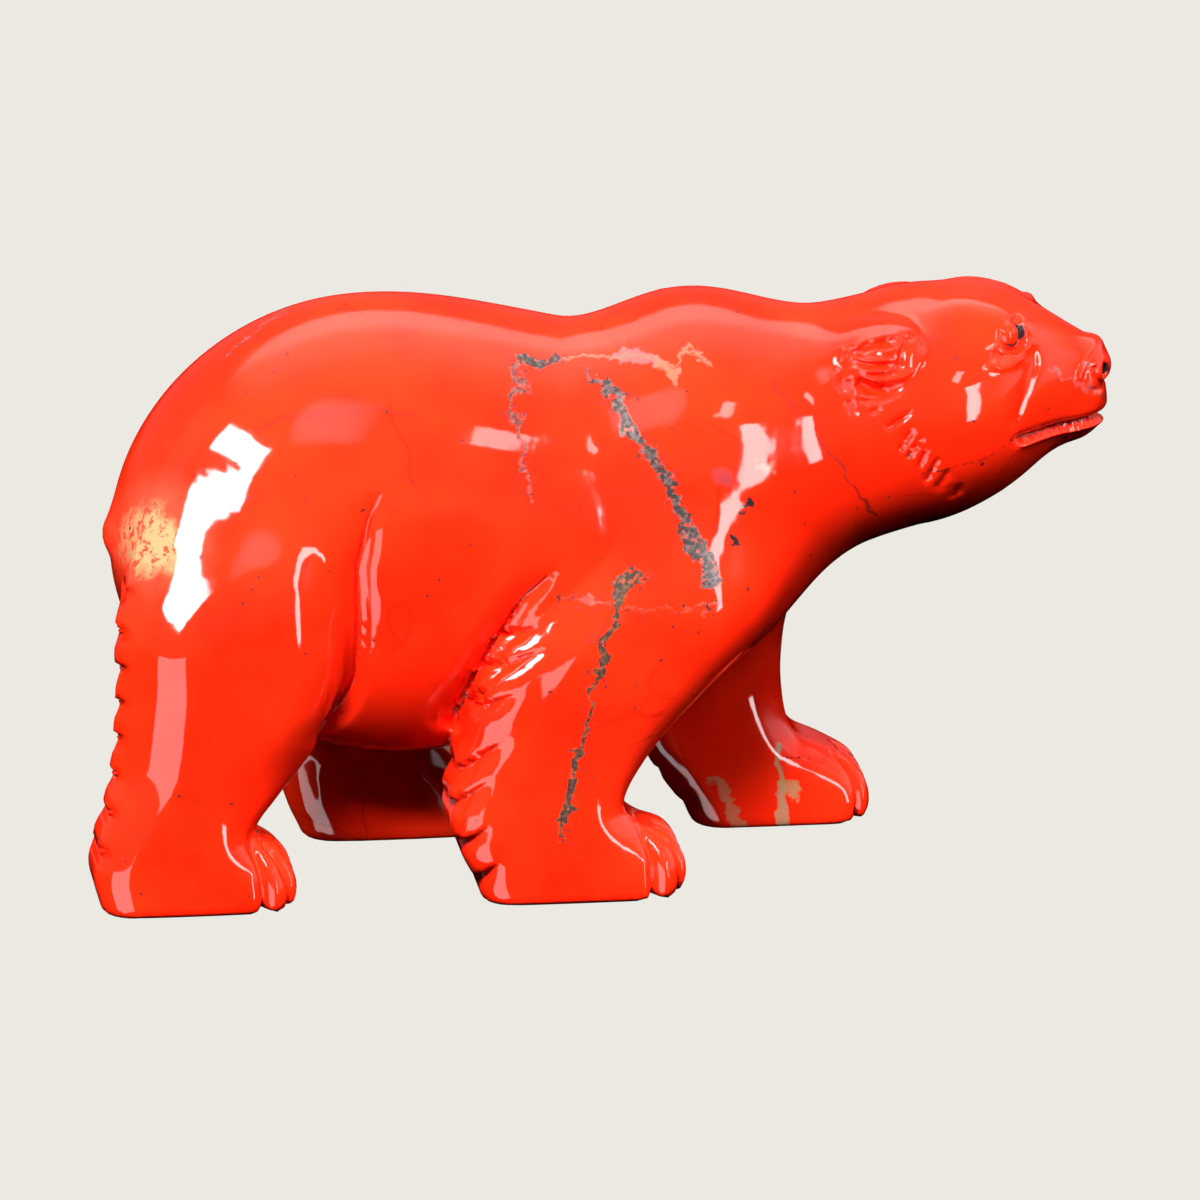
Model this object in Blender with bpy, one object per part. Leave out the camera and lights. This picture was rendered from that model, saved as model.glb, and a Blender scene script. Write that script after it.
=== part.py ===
"""A walking polar bear carved from one block of red jasper and polished.

The carving is one solid. Its form is worked out as a sculptor's would be: rounded masses
are laid down and blended, the legs are sawn to their side outlines and rounded over, and
the details are then cut into the surface. The blended form is sampled on a grid, and its
surface is drawn from there.

The bear stands on the ground plane and looks along +X. Its right side faces -Y.
"""

import math

import bmesh
import bpy
import numpy as np
import openvdb

# Driving size: the trailing heel to the nose, in metres. The form below is drawn in
# millimetres for a carving of about this length, and is scaled to it as a whole.
LENGTH = 0.1215

# How finely the form is sampled and how many triangles are kept.
VOXEL = 0.62
GRID_LOW = (-68.0, -27.0, -3.0)
GRID_HIGH = (66.0, 27.0, 74.0)
KEPT_TRIANGLES = 9800

JASPER_RED = (0.80, 0.045, 0.012, 1.0)


# Field tools. A point is (x, y, z), three arrays that broadcast together. A field is
# negative inside the stone, positive outside, and close to a distance near the surface.


def turned(point, centre, yaw=0.0, pitch=0.0):
    """The point as seen from a mass at this centre that is turned about Z, then tipped nose up."""
    x, y, z = (c - c0 for c, c0 in zip(point, centre))
    if yaw:
        a = math.radians(yaw)
        x, y = x * math.cos(a) + y * math.sin(a), y * math.cos(a) - x * math.sin(a)
    if pitch:
        a = math.radians(pitch)
        x, z = x * math.cos(a) + z * math.sin(a), z * math.cos(a) - x * math.sin(a)
    return x, y, z


def ellipsoid(point, centre, radii, yaw=0.0, pitch=0.0):
    x, y, z = turned(point, centre, yaw, pitch)
    a, b, c = radii
    near = np.sqrt((x / a) ** 2 + (y / b) ** 2 + (z / c) ** 2)
    slope = np.sqrt((x / a**2) ** 2 + (y / b**2) ** 2 + (z / c**2) ** 2)
    return near * (near - 1.0) / np.maximum(slope, 1e-6)


def limb(point, start, end, start_radius, end_radius, squeeze=1.0):
    """A rod with round ends that tapers between two radii; squeeze over 1 makes it narrower across Y."""
    x, y, z = (c - c0 for c, c0 in zip(point, start))
    along = [b - a for a, b in zip(start, end)]
    length2 = sum(c * c for c in along)
    share = np.clip((x * along[0] + y * along[1] + z * along[2]) / length2, 0.0, 1.0)
    radius = start_radius + (end_radius - start_radius) * share
    gap = np.sqrt(
        (x - along[0] * share) ** 2
        + (squeeze * (y - along[1] * share)) ** 2
        + (z - along[2] * share) ** 2
    )
    return gap - radius


def join(a, b, blend):
    """Both masses, with a fillet about this wide where they meet."""
    near = np.maximum(blend - np.abs(a - b), 0.0) / blend
    return np.minimum(a, b) - near * near * blend * 0.25


def trim(a, b, blend):
    """What a and b share, with its edge eased by this much."""
    return -join(-a, -b, blend)


def ease(low, high, value):
    """0 below low, 1 above high, smooth between."""
    share = np.clip((value - low) / (high - low), 0.0, 1.0)
    return share * share * (3.0 - 2.0 * share)


def profile(heights, values, z):
    """A value that runs smoothly through these values at these heights."""
    heights, values = np.array(heights), np.array(values)
    slopes = np.gradient(values, heights)
    z = np.clip(z, heights[0], heights[-1])
    n = np.clip(np.searchsorted(heights, z) - 1, 0, len(heights) - 2)
    span = heights[n + 1] - heights[n]
    t = (z - heights[n]) / span
    return (
        values[n] * (1.0 + 2.0 * t) * (1.0 - t) ** 2
        + values[n + 1] * t**2 * (3.0 - 2.0 * t)
        + span * (slopes[n] * t * (1.0 - t) ** 2 - slopes[n + 1] * t**2 * (1.0 - t))
    )


def smooth_outline(points, per_span=8):
    """A closed smooth curve through these points, as a polygon."""
    corners = np.array(points, float)
    before, after, later = (np.roll(corners, n, axis=0) for n in (1, -1, -2))
    ring = []
    for t in np.arange(per_span) / per_span:
        ring.append(
            0.5
            * (
                2 * corners
                + (after - before) * t
                + (2 * before - 5 * corners + 4 * after - later) * t**2
                + (3 * corners - before - 3 * after + later) * t**3
            )
        )
    return np.stack(ring, axis=1).reshape(-1, 2)


def outline_field(x, z, outline):
    """Distance to a closed outline in the XZ plane, negative inside it."""
    x, z = x + 0.0 * z, z + 0.0 * x
    nearest = np.full(x.shape, 1e9)
    inside = np.zeros(x.shape, bool)
    for (ax, az), (bx, bz) in zip(outline, np.roll(outline, -1, axis=0)):
        ex, ez = bx - ax, bz - az
        px, pz = x - ax, z - az
        share = np.clip((px * ex + pz * ez) / (ex * ex + ez * ez), 0.0, 1.0)
        nearest = np.minimum(nearest, (px - ex * share) ** 2 + (pz - ez * share) ** 2)
        if ez:
            inside ^= ((az > z) != (bz > z)) & (px < ex * pz / ez)
    return np.where(inside, -1.0, 1.0) * np.sqrt(nearest)


class Outline:
    """A closed smooth outline in the XZ plane, with its distances kept on a sheet of squares."""

    SQUARE = 1.0
    LOW = (-80.0, -14.0)
    COUNT = (160, 104)

    def __init__(self, corners):
        self.ring = smooth_outline(corners)
        x, z = (low + self.SQUARE * np.arange(n) for low, n in zip(self.LOW, self.COUNT))
        self.sheet = outline_field(x[:, None], z[None, :], self.ring)

    def distance(self, x, z):
        """The sheet's distances, smoothed over the squares round each place."""
        x, z = x + 0.0 * z, z + 0.0 * x
        corner, shares = [], []
        for value, low, count in zip((x, z), self.LOW, self.COUNT):
            place = np.clip((value - low) / self.SQUARE, 1.0, count - 2.001)
            whole = np.floor(place)
            corner.append(whole.astype(int) - 1)
            t = place - whole
            shares.append(((1.0 - t) ** 3, 3 * t**3 - 6 * t**2 + 4, 1 + 3 * (t + t**2 - t**3), t**3))
        total = 0.0
        for m, across in enumerate(shares[0]):
            for n, up in enumerate(shares[1]):
                total = total + across * up * self.sheet[corner[0] + m, corner[1] + n]
        return total / 36.0


def path_distance(x, z, path):
    """Distance to an open path in the XZ plane, above 0 on its left, and how far along it lies."""
    x, z = x + 0.0 * z, z + 0.0 * x
    nearest = np.full(x.shape, 1e9)
    share = np.zeros(x.shape)
    left = np.ones(x.shape)
    spans = len(path) - 1
    for n, ((ax, az), (bx, bz)) in enumerate(zip(path, path[1:])):
        ex, ez = bx - ax, bz - az
        along = np.clip(((x - ax) * ex + (z - az) * ez) / (ex * ex + ez * ez), 0.0, 1.0)
        gap = (x - ax - ex * along) ** 2 + (z - az - ez * along) ** 2
        closer = gap < nearest
        share = np.where(closer, (n + along) / spans, share)
        left = np.where(closer, np.where(ex * (z - az) < ez * (x - ax), -1.0, 1.0), left)
        nearest = np.minimum(nearest, gap)
    return left * np.sqrt(nearest), share


def stroke(point, path, side, depth, width, start=0.1, end=0.4, reach=8.0, lean=0.0):
    """A groove along a path on one side of the bear, running out at both of its ends.

    lean makes it wider on the path's left and steeper on its right, or the reverse below 0;
    a depth below 0 makes it a ridge.
    """
    x, y, z = point
    gap, share = path_distance(x, z, path)
    strength = ease(-0.02, start, share) * (1.0 - ease(1.0 - end, 1.02, share))
    width = width * np.where(gap > 0.0, 1.0 + lean, 1.0 - lean)
    return depth * np.exp(-((gap / width) ** 2)) * strength * ease(reach, reach + 4.0, side * y)


def slab(point, outline, outer, inner, side, rounding, crown):
    """A leg sawn to a side outline between two crowned faces, its edges rounded over."""
    x, y, z = point
    edge = outline.distance(x, z)
    crown = crown * (1.0 - ease(0.0, 9.0, -edge)) * ease(8.0, 18.0, z)
    edge = edge + rounding
    middle = 0.5 * (outer + inner)
    face = np.abs(side * y - middle) - 0.5 * (outer - inner) + rounding + crown
    corner = np.sqrt(np.maximum(edge, 0.0) ** 2 + np.maximum(face, 0.0) ** 2)
    return corner + np.minimum(np.maximum(edge, face), 0.0) - rounding


# The masses of the bear.

RIGHT, LEFT = -1.0, 1.0

HEAD_PIVOT = (34.0, 0.0, 55.0)
HEAD_YAW = -12.0

RIGHT_HIND = Outline(
    [
        (-58.0, -2.5), (-61.2, 2.0), (-61.6, 6.2), (-60.2, 11.5), (-59.4, 18.0),
        (-58.9, 26.0), (-58.0, 36.0), (-50.0, 46.0), (-40.0, 49.0), (-31.5, 48.0),
        (-29.4, 42.0), (-29.8, 30.0), (-32.8, 20.6), (-39.0, 13.4), (-42.6, 9.0),
        (-40.2, 7.0), (-38.0, 4.0), (-38.2, 0.5), (-42.0, -2.5),
    ]
)
RIGHT_FRONT = Outline(
    [
        (-13.0, -2.5), (-17.0, 3.0), (-19.3, 8.0), (-19.7, 13.0), (-18.4, 19.0),
        (-16.7, 26.0), (-11.6, 35.0), (-6.0, 42.0), (5.0, 48.0), (15.0, 43.0),
        (17.0, 34.0), (10.5, 24.5), (4.0, 16.5), (0.9, 11.0), (3.0, 8.2),
        (6.4, 6.8), (8.2, 3.6), (7.2, 0.0), (3.0, -2.5),
    ]
)
LEFT_HIND = Outline(
    [
        (-31.0, -2.5), (-35.0, 2.0), (-36.6, 6.5), (-38.0, 12.0), (-41.0, 20.0),
        (-42.0, 30.0), (-38.0, 42.0), (-28.0, 48.0), (-17.0, 42.0), (-13.5, 30.0),
        (-15.5, 19.0), (-17.0, 12.5), (-15.5, 10.0), (-12.5, 7.6), (-10.6, 4.0),
        (-11.6, 0.0), (-15.5, -2.5),
    ]
)
LEFT_FRONT = Outline(
    [
        (15.6, -2.5), (11.2, 2.6), (7.4, 8.0), (5.0, 14.0), (3.0, 22.0),
        (2.0, 32.0), (5.0, 42.0), (14.0, 46.0), (22.0, 42.0), (25.0, 33.0),
        (23.8, 24.0), (23.4, 17.0), (24.6, 11.0), (28.6, 8.6), (32.4, 6.2),
        (33.8, 3.2), (33.0, 0.0), (29.0, -2.5),
    ]
)


def torso(point):
    rump = ellipsoid(point, (-30.7, 0.0, 42.9), (28.2, 19.5, 24.7), pitch=35.0)
    barrel = ellipsoid(point, (-10.0, 0.0, 41.0), (30.0, 19.6, 24.6))
    withers = ellipsoid(point, (11.0, 0.0, 47.8), (15.8, 16.5, 20.1))
    brisket = ellipsoid(point, (9.5, 0.0, 37.9), (13.8, 14.5, 13.0), pitch=-30.0)
    neck = limb(point, (12.0, 0.0, 48.2), (35.0, -0.8, 53.2), 17.4, 13.3, squeeze=1.05)
    belly = ellipsoid(point, (-23.5, 0.0, 31.0), (19.0, 16.8, 17.0), pitch=6.0)
    body = join(rump, barrel, 8.0)
    body = join(body, belly, 5.0)
    body = join(body, withers, 6.0)
    body = join(body, brisket, 7.0)
    body = join(body, neck, 6.0)
    tail = limb(point, (-48.6, 0.0, 54.6), (-55.9, 0.0, 41.0), 2.4, 2.8)
    return join(body, tail, 1.2)


def head(point):
    local = turned(point, HEAD_PIVOT, yaw=HEAD_YAW)
    x, y, z = local
    paired = (x, np.abs(y), z)
    skull = ellipsoid(local, (8.5, 0.0, 0.8), (13.0, 11.5, 11.7))
    jowl = ellipsoid(local, (3.5, 0.0, -1.2), (13.0, 12.4, 8.7), pitch=16.0)
    muzzle = limb(local, (14.0, 0.0, 2.8), (23.6, 0.0, 2.9), 9.1, 5.0, squeeze=1.2)
    muzzle = trim(muzzle, x - 26.0, 1.4)
    chin = limb(local, (11.0, 0.0, -1.4), (22.0, 0.0, -1.4), 5.2, 3.5, squeeze=1.05)
    brow = ellipsoid(paired, (13.2, 5.0, 9.4), (5.6, 2.6, 2.6), pitch=-24.0)
    pad = ellipsoid(local, (24.3, 0.0, 4.1), (2.5, 3.6, 2.4))
    form = join(skull, jowl, 6.0)
    form = join(form, muzzle, 5.0)
    form = join(form, chin, 2.5)
    form = join(form, brow, 2.5)
    form = join(form, pad, 0.6)
    return join(form, ellipsoid(paired, EAR, (4.6, 2.9, 3.1), pitch=17.0), 0.8)


EAR = (0.4, 9.8, 7.2)
EYE = (15.3, 7.3, 9.3)
NOSTRIL = (25.6, 2.2, 4.0)
MOUTH = ((15.8, -2.9), (19.0, -2.5), (23.0, -2.1), (28.0, -1.3))
UNDER_NOSE = ((24.0, 1.9), (28.0, 2.3))

EAR_FOLDS = (
    ((-3.2, 8.0), (-1.0, 9.2), (2.5, 9.7)),
    ((-3.2, 7.6), (-1.2, 7.1), (2.6, 7.1)),
)
EAR_POCKET = ((-2.6, 4.9), (-0.4, 3.9), (1.6, 3.9), (3.4, 4.8))


def line(x, z, length, slope):
    """A straight path from a point, at this slope in degrees."""
    a = math.radians(slope)
    return ((x, z), (x + length * math.cos(a), z + length * math.sin(a)))


def head_cuts(point):
    """How deep the carving of the face goes at each point; both sides are alike."""
    x, y, z = turned(point, HEAD_PIVOT, yaw=HEAD_YAW)
    paired = (x, np.abs(y), z)
    gap, share = path_distance(x, z, MOUTH)
    cut = 0.9 * np.exp(-((gap / 0.6) ** 2)) * ease(-0.02, 0.08, share)
    gap, share = path_distance(x, z, UNDER_NOSE)
    cut = cut + 0.35 * np.exp(-((gap / 0.5) ** 2)) * ease(-0.02, 0.3, share)
    for fold in EAR_FOLDS:
        cut = cut + stroke(paired, fold, 1.0, 0.6, 0.5, end=0.2, reach=5.0)
    return cut + stroke(paired, EAR_POCKET, 1.0, 1.1, 0.8, end=0.5, reach=7.0, lean=0.4)


def eyes_and_nostrils(form, point):
    """Sockets are sunk and an eyeball is left in each; the nostrils are small pits."""
    x, y, z = turned(point, HEAD_PIVOT, yaw=HEAD_YAW)
    paired = (x, np.abs(y), z)
    a, b, c = EYE
    form = trim(form, -ellipsoid(paired, (a + 0.5, b + 0.3, c), (1.6, 1.7, 2.1)), 0.5)
    form = join(form, ellipsoid(paired, (a - 0.4, b - 0.6, c - 0.1), (1.3, 1.4, 1.8)), 0.3)
    return trim(form, -ellipsoid(paired, NOSTRIL, (1.3, 0.6, 0.9)), 0.4)


# How wide the legs stand at these heights, out to their outer and inner faces, and how
# far their edges are rounded over.
LEG_HEIGHTS = (0.0, 8.0, 18.0, 32.0, 46.0, 56.0)
HIND_OUTER = (22.0, 21.4, 21.2, 22.0, 17.4, 11.0)
FRONT_OUTER = (22.0, 21.4, 21.2, 20.9, 15.5, 10.0)
LEG_INNER = (6.2, 6.6, 6.8, 6.0, 4.0, 2.0)
HIND_ROUNDING = (4.2, 5.0, 7.0, 8.0, 9.0, 9.0)
FRONT_ROUNDING = (3.6, 4.0, 4.6, 5.4, 8.0, 9.0)
HIND_CROWN = 1.8
FRONT_CROWN = 1.0
HIND_SHAPE = (HIND_OUTER, HIND_ROUNDING, HIND_CROWN)
FRONT_SHAPE = (FRONT_OUTER, FRONT_ROUNDING, FRONT_CROWN)

# The fur strokes on the legs' back edges: height, length and slope in degrees.
FRONT_FRINGE = (
    (2.4, 4.5, 45.0),
    (6.5, 5.5, 40.0),
    (11.0, 6.8, 40.0),
    (14.6, 9.0, 40.0),
    (22.4, 7.5, 28.0),
    (27.0, 10.0, 26.0),
    (31.2, 6.0, 22.0),
)
HIND_FRINGE = [(6.2 + 4.3 * n, 3.0, 45.0) for n in range(8)]
LEFT_HIND_FRINGE = HIND_FRINGE[:4]

# The creases where the body goes in before the hind legs and behind the front legs.
HIND_CREASE = (
    (-27.6, 51.0), (-29.2, 47.0), (-30.4, 41.0), (-30.2, 34.0), (-30.4, 27.0), (-32.0, 22.0),
    (-35.0, 18.0),
)
FRONT_CREASE = ((-6.0, 41.6), (-10.8, 36.6), (-14.8, 29.6), (-17.6, 23.5), (-18.6, 19.0))
LEFT_HIND_CREASE = ((-12.0, 47.0), (-12.6, 40.0), (-13.0, 33.0), (-14.2, 26.0), (-15.6, 19.0))
LEFT_FRONT_CREASE = ((7.0, 42.0), (3.4, 36.0), (2.2, 28.0), (3.0, 20.0))

LEGS = (
    (RIGHT, RIGHT_HIND, HIND_CREASE, HIND_FRINGE, HIND_SHAPE),
    (LEFT, LEFT_HIND, LEFT_HIND_CREASE, LEFT_HIND_FRINGE, HIND_SHAPE),
    (RIGHT, RIGHT_FRONT, FRONT_CREASE, FRONT_FRINGE, FRONT_SHAPE),
    (LEFT, LEFT_FRONT, LEFT_FRONT_CREASE, FRONT_FRINGE, FRONT_SHAPE),
)
# The paws' five toes spread round a point in each paw. On both sides they point out to the
# bear's right: these are the angles from straight ahead, outward above 0, in degrees.
PAW_MIDDLE = 14.2
PAW_RADIUS = 8.0
TOES_TURNED = {RIGHT: 27.0, LEFT: -12.0}
TOE_GAPS = (-34.0, -11.5, 11.5, 34.0)


def leg(point, outline, side, shape):
    z = point[2]
    widths, roundings, crown = shape
    outer = profile(LEG_HEIGHTS, widths, z)
    inner = profile(LEG_HEIGHTS, LEG_INNER, z)
    rounding = profile(LEG_HEIGHTS, roundings, z)
    return slab(point, outline, outer, inner, side, rounding, crown)


def back_edge(outline, height):
    """How far back a leg's outline lies at this height."""
    crossings = [
        a[0] + (b[0] - a[0]) * (height - a[1]) / (b[1] - a[1])
        for a, b in zip(outline.ring, np.roll(outline.ring, -1, axis=0))
        if (a[1] > height) != (b[1] > height)
    ]
    return min(crossings)


def toe_cuts(point, outline, side):
    """The four gaps between a paw's five toes, over its front and down to the sole."""
    x, y, z = point
    front = outline.ring[outline.ring[:, 1] < 8.0, 0].max()
    ahead, aside = x - front + PAW_RADIUS, side * y - PAW_MIDDLE
    radius = np.sqrt(ahead**2 + aside**2)
    angle = np.arctan2(aside, ahead) - math.radians(TOES_TURNED[side])
    gaps = sum(
        np.exp(-((radius * (angle - math.radians(gap)) / 0.6) ** 2)) for gap in TOE_GAPS
    )
    near = ease(4.2, 5.8, radius) * (1.0 - ease(11.0, 13.0, radius))
    return 1.2 * gaps * near * (1.0 - ease(8.0, 10.5, z))


def creases(point):
    """The creases that part the legs from the body."""
    return sum(
        stroke(point, crease, side, 1.8, 1.5, start=0.4, end=0.1, lean=-0.45)
        for side, _, crease, _, _ in LEGS
    )


def leg_cuts(point):
    cut = 0.0
    for side, outline, _, fringe, _ in LEGS:
        cut = cut + toe_cuts(point, outline, side)
        for height, length, slope in fringe:
            path = line(back_edge(outline, height) - 0.4, height, length, slope)
            cut = cut + stroke(point, path, side, 0.9, 0.62, start=0.02, end=0.7, lean=-0.4)
    return cut


def bear(point):
    """The finished form."""
    form = join(torso(point), head(point), 7.0)
    for side, outline, crease, _, shape in LEGS:
        gap, _ = path_distance(point[0], point[2], crease)
        blend = 1.5 + 7.5 * ease(2.0, 10.0, np.abs(gap))
        form = join(form, leg(point, outline, side, shape), blend)
    form = form + creases(point) + head_cuts(point) + leg_cuts(point)
    form = eyes_and_nostrils(form, point)
    return trim(form, -point[2], 0.8)


# From the field to a mesh.


def sampled(field, low, high, step):
    """The field's values on a grid, and the grid's corner."""
    axes = [np.arange(a, b, step) for a, b in zip(low, high)]
    point = (
        axes[0][:, None, None],
        axes[1][None, :, None],
        axes[2][None, None, :],
    )
    shape = [len(a) for a in axes]
    return np.ascontiguousarray(np.broadcast_to(field(point), shape), dtype=np.float32)


def surface(field, low, high, step):
    """Points and quads of the field's zero surface."""
    values = sampled(field, low, high, step)
    grid = openvdb.FloatGrid(4.0 * step)
    grid.copyFromArray(np.clip(values, -4.0 * step, 4.0 * step))
    points, quads = grid.convertToQuads(0.0)
    return np.array(low) + points * step, quads


def settled(field, points, rounds=2, reach=0.02):
    """The points moved along the field's slope until they lie on its zero surface."""
    for _ in range(rounds):
        value = field(tuple(points.T))
        slope = np.empty_like(points)
        for axis in range(3):
            ahead = points.copy()
            ahead[:, axis] += reach
            slope[:, axis] = (field(tuple(ahead.T)) - value) / reach
        steep = np.maximum((slope**2).sum(axis=1), 0.2)
        points = points - slope * (value / steep)[:, None]
    return points


def jasper():
    material = bpy.data.materials.new("jasper")
    material.use_nodes = True
    shader = material.node_tree.nodes["Principled BSDF"]
    shader.inputs["Base Color"].default_value = JASPER_RED
    shader.inputs["Roughness"].default_value = 0.08
    shader.inputs["Metallic"].default_value = 0.0
    return material


def carve():
    points, quads = surface(bear, GRID_LOW, GRID_HIGH, VOXEL)
    points = settled(bear, points.astype(float))
    middle = 0.5 * (points.min(axis=0) + points.max(axis=0))
    points -= (middle[0], middle[1], 0.0)
    points *= LENGTH / np.ptp(points[:, 0])
    mesh = bpy.data.meshes.new("rough_bear")
    mesh.from_pydata(points.tolist(), [], quads.tolist())
    stone = bmesh.new()
    stone.from_mesh(mesh)
    bmesh.ops.recalc_face_normals(stone, faces=stone.faces)
    stone.to_mesh(mesh)
    stone.free()
    return bpy.data.objects.new("rough_bear", mesh)


def thinned(rough):
    """The bear with fewer triangles, its soles ground flat on the ground plane."""
    thin = rough.modifiers.new("fewer triangles", "DECIMATE")
    thin.ratio = KEPT_TRIANGLES / (2 * len(rough.data.polygons))
    bpy.context.scene.collection.objects.link(rough)
    graph = bpy.context.evaluated_depsgraph_get()
    mesh = bpy.data.meshes.new_from_object(rough.evaluated_get(graph))
    bpy.data.objects.remove(rough)
    for vertex in mesh.vertices:
        if vertex.co.z < 0.00006:
            vertex.co.z = 0.0
    mesh.name = "bear"
    mesh.shade_smooth()
    mesh.materials.append(jasper())
    return bpy.data.objects.new("bear", mesh)


def main():
    for old in list(bpy.data.objects):
        bpy.data.objects.remove(old)
    carving = bpy.data.collections.new("polar_bear_carving")
    bpy.context.scene.collection.children.link(carving)
    carving.objects.link(thinned(carve()))


if __name__ == "__main__":
    main()
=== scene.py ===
"""The polished red jasper polar bear: its carved surface, its stone and the light on it.

The bear's form is worked out again here from the same rounded masses as the solid's, on a
finer mesh, and the finest carving is cut into it: eyelids, ear ridges, fur strokes and lips.
The stone's veins, patches and specks run through the block, so they show on every side.
"""

import math

import bmesh
import bpy
import numpy as np
import openvdb
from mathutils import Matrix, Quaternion, Vector


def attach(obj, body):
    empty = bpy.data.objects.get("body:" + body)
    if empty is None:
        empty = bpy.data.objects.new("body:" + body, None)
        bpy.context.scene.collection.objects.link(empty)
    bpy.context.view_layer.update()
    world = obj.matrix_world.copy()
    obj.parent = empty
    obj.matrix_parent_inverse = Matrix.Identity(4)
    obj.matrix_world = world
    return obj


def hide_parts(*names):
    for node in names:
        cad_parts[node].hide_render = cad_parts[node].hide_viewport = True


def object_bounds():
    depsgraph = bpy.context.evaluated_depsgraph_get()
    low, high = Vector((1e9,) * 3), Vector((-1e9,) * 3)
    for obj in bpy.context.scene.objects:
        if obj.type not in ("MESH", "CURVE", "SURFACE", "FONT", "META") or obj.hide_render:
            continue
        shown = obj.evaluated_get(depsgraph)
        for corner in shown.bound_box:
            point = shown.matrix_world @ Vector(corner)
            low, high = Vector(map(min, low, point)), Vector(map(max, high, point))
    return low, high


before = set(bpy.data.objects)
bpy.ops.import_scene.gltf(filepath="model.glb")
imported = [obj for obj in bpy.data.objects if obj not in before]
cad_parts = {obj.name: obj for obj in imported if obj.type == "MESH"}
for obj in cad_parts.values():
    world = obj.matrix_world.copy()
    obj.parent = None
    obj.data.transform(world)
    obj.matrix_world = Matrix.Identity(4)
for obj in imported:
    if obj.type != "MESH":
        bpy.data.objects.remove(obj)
cad_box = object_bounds()

# The solid's own length, in metres. The form below is drawn in millimetres.
LENGTH = cad_box[1].x - cad_box[0].x

# How finely the form is sampled and between which corners, in millimetres.
VOXEL = 0.8
GRID_LOW = (-68.0, -27.0, -3.0)
GRID_HIGH = (66.0, 27.0, 74.0)

# The mesh's edges are halved where there is more carving than this, once for each number.
HALVED_ABOVE = (0.10, 0.27)

# How far outside the uncarved surface the carving is looked for, how far it may stand out
# and how deep it may go, in millimetres.
START_OUTSIDE = 0.8
HIGHEST = 1.5
DEEPEST = 3.5

# How far the edge round each sole is eased, in millimetres.
SOLE_EDGE = 0.8


# Field tools. A point is (x, y, z), three arrays that broadcast together. A field is
# negative inside the stone, positive outside, and close to a distance near the surface.


def turned(point, centre, yaw=0.0, pitch=0.0):
    """The point as seen from a mass at this centre that is turned about Z, then tipped nose up."""
    x, y, z = (c - c0 for c, c0 in zip(point, centre))
    if yaw:
        a = math.radians(yaw)
        x, y = x * math.cos(a) + y * math.sin(a), y * math.cos(a) - x * math.sin(a)
    if pitch:
        a = math.radians(pitch)
        x, z = x * math.cos(a) + z * math.sin(a), z * math.cos(a) - x * math.sin(a)
    return x, y, z


def ellipsoid(point, centre, radii, yaw=0.0, pitch=0.0):
    x, y, z = turned(point, centre, yaw, pitch)
    a, b, c = radii
    near = np.sqrt((x / a) ** 2 + (y / b) ** 2 + (z / c) ** 2)
    slope = np.sqrt((x / a**2) ** 2 + (y / b**2) ** 2 + (z / c**2) ** 2)
    return near * (near - 1.0) / np.maximum(slope, 1e-6)


def limb(point, start, end, start_radius, end_radius, squeeze=1.0):
    """A rod with round ends that tapers between two radii.

    squeeze over 1 makes it narrower across Y.
    """
    x, y, z = (c - c0 for c, c0 in zip(point, start))
    along = [b - a for a, b in zip(start, end)]
    length2 = sum(c * c for c in along)
    share = np.clip((x * along[0] + y * along[1] + z * along[2]) / length2, 0.0, 1.0)
    radius = start_radius + (end_radius - start_radius) * share
    gap = np.sqrt(
        (x - along[0] * share) ** 2
        + (squeeze * (y - along[1] * share)) ** 2
        + (z - along[2] * share) ** 2
    )
    return gap - radius


def join(a, b, blend):
    """Both masses, with a fillet about this wide where they meet."""
    near = np.maximum(blend - np.abs(a - b), 0.0) / blend
    return np.minimum(a, b) - near * near * blend * 0.25


def trim(a, b, blend):
    """What a and b share, with its edge eased by this much."""
    return -join(-a, -b, blend)


def ease(low, high, value):
    """0 below low, 1 above high, smooth between."""
    share = np.clip((value - low) / (high - low), 0.0, 1.0)
    return share * share * (3.0 - 2.0 * share)


def profile(heights, values, z):
    """A value that runs smoothly through these values at these heights."""
    heights, values = np.array(heights), np.array(values)
    slopes = np.gradient(values, heights)
    z = np.clip(z, heights[0], heights[-1])
    n = np.clip(np.searchsorted(heights, z) - 1, 0, len(heights) - 2)
    span = heights[n + 1] - heights[n]
    t = (z - heights[n]) / span
    return (
        values[n] * (1.0 + 2.0 * t) * (1.0 - t) ** 2
        + values[n + 1] * t**2 * (3.0 - 2.0 * t)
        + span * (slopes[n] * t * (1.0 - t) ** 2 - slopes[n + 1] * t**2 * (1.0 - t))
    )


def smooth_outline(points, per_span=8):
    """A closed smooth curve through these points, as a polygon."""
    corners = np.array(points, float)
    before, after, later = (np.roll(corners, n, axis=0) for n in (1, -1, -2))
    ring = []
    for t in np.arange(per_span) / per_span:
        ring.append(
            0.5
            * (
                2 * corners
                + (after - before) * t
                + (2 * before - 5 * corners + 4 * after - later) * t**2
                + (3 * corners - before - 3 * after + later) * t**3
            )
        )
    return np.stack(ring, axis=1).reshape(-1, 2)


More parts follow.
